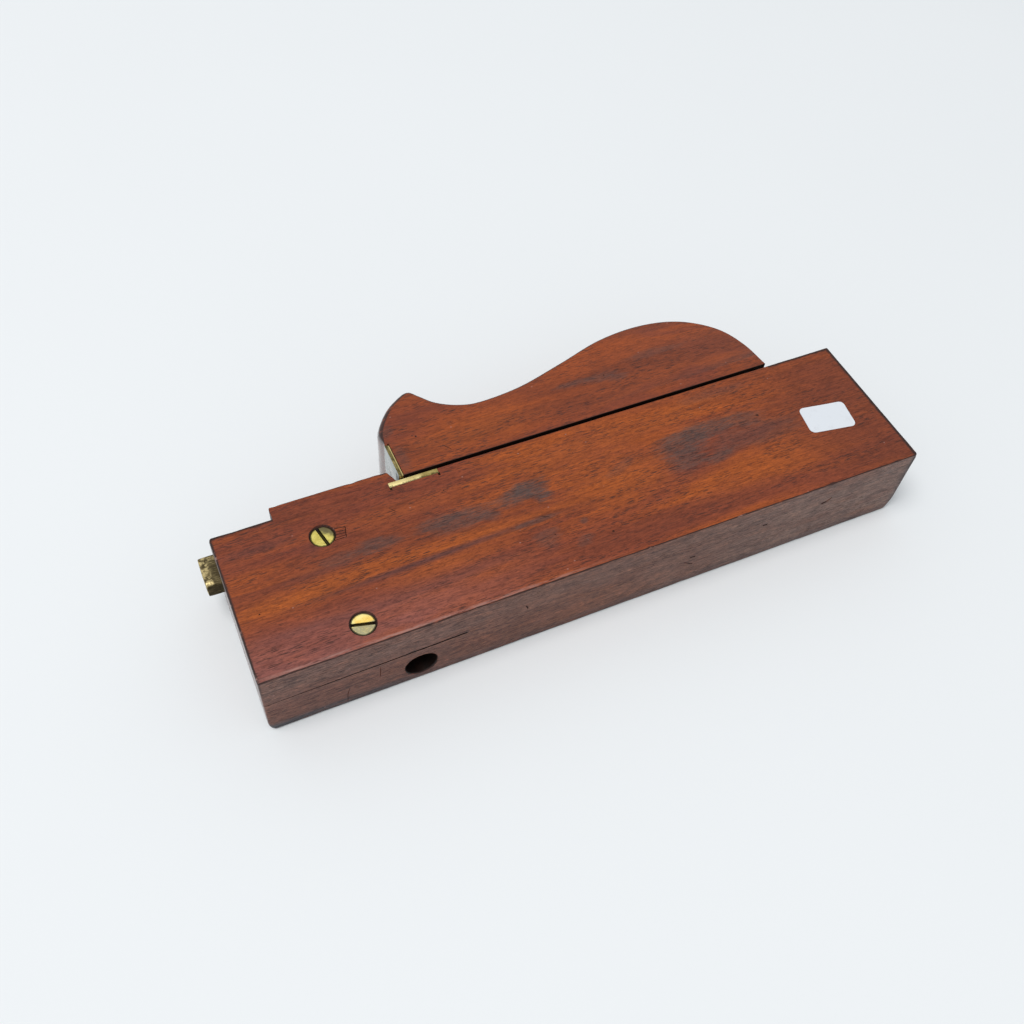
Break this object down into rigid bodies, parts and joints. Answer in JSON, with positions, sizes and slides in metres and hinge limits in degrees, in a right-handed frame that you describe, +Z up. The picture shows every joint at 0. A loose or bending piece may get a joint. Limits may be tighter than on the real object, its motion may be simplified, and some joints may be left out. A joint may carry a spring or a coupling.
{
  "type": "slitting gauge",
  "caption": "Wooden hand slitter for thin sheet: rectangular stock, curved side handle, brass-lined slot and a screw-clamped slide bar that carries the knife.",
  "frame": {"origin": "middle of the stock's bottom face, on which the tool lies", "axes": "+X along the slot from the clamped end towards the heel, +Y from the stock to the handle, +Z up out of the face with the clamp screws"},
  "size_m": [0.2466, 0.0951, 0.0316],
  "materials": {
    "mahogany_stock": "old polish, worn, with dark stains",
    "mahogany_handle": "old polish, hand-worn",
    "brass_plate": "worn bright, tarnished at the edges",
    "brass_bar": "brown tarnish, bruised bright end",
    "brass_screw": "worn, dark slots",
    "tool_steel": "ground, thin rust bloom",
    "iron_screw": "dark oxide",
    "label_paper": "matte paper, blank"
  },
  "bodies": {
    "stock": {"stock": "mahogany_stock", "handle": "mahogany_handle", "fence_strip": "brass_plate", "mouth_plate": "brass_plate", "mouth_plate_pins": "brass_screw", "nose_plate": "brass_plate", "nose_plate_screws": "brass_screw", "handle_screws": "iron_screw", "handle_plugs": "mahogany_handle", "price_label": "label_paper"},
    "slide": {"slide_bar": "brass_bar", "knife": "tool_steel", "knife_screw": "iron_screw"},
    "far_screw": {"clamp_screw_far": "brass_screw"},
    "near_screw": {"clamp_screw_near": "brass_screw"}
  },
  "joints": [
    {"name": "bar_slide", "type": "slide", "parent": "stock", "child": "slide", "axis": [1, 0, 0], "range_m": [-0.003, 0.0045]},
    {"name": "far_screw_turn", "type": "hinge", "parent": "stock", "child": "far_screw", "pos_m": [-0.08685, 0.01555, 0.0315], "axis": [0, 0, 1], "range_deg": [0, 180]},
    {"name": "near_screw_turn", "type": "hinge", "parent": "stock", "child": "near_screw", "pos_m": [-0.08575, -0.02005, 0.0315], "axis": [0, 0, 1], "range_deg": [0, 180]}
  ]
}
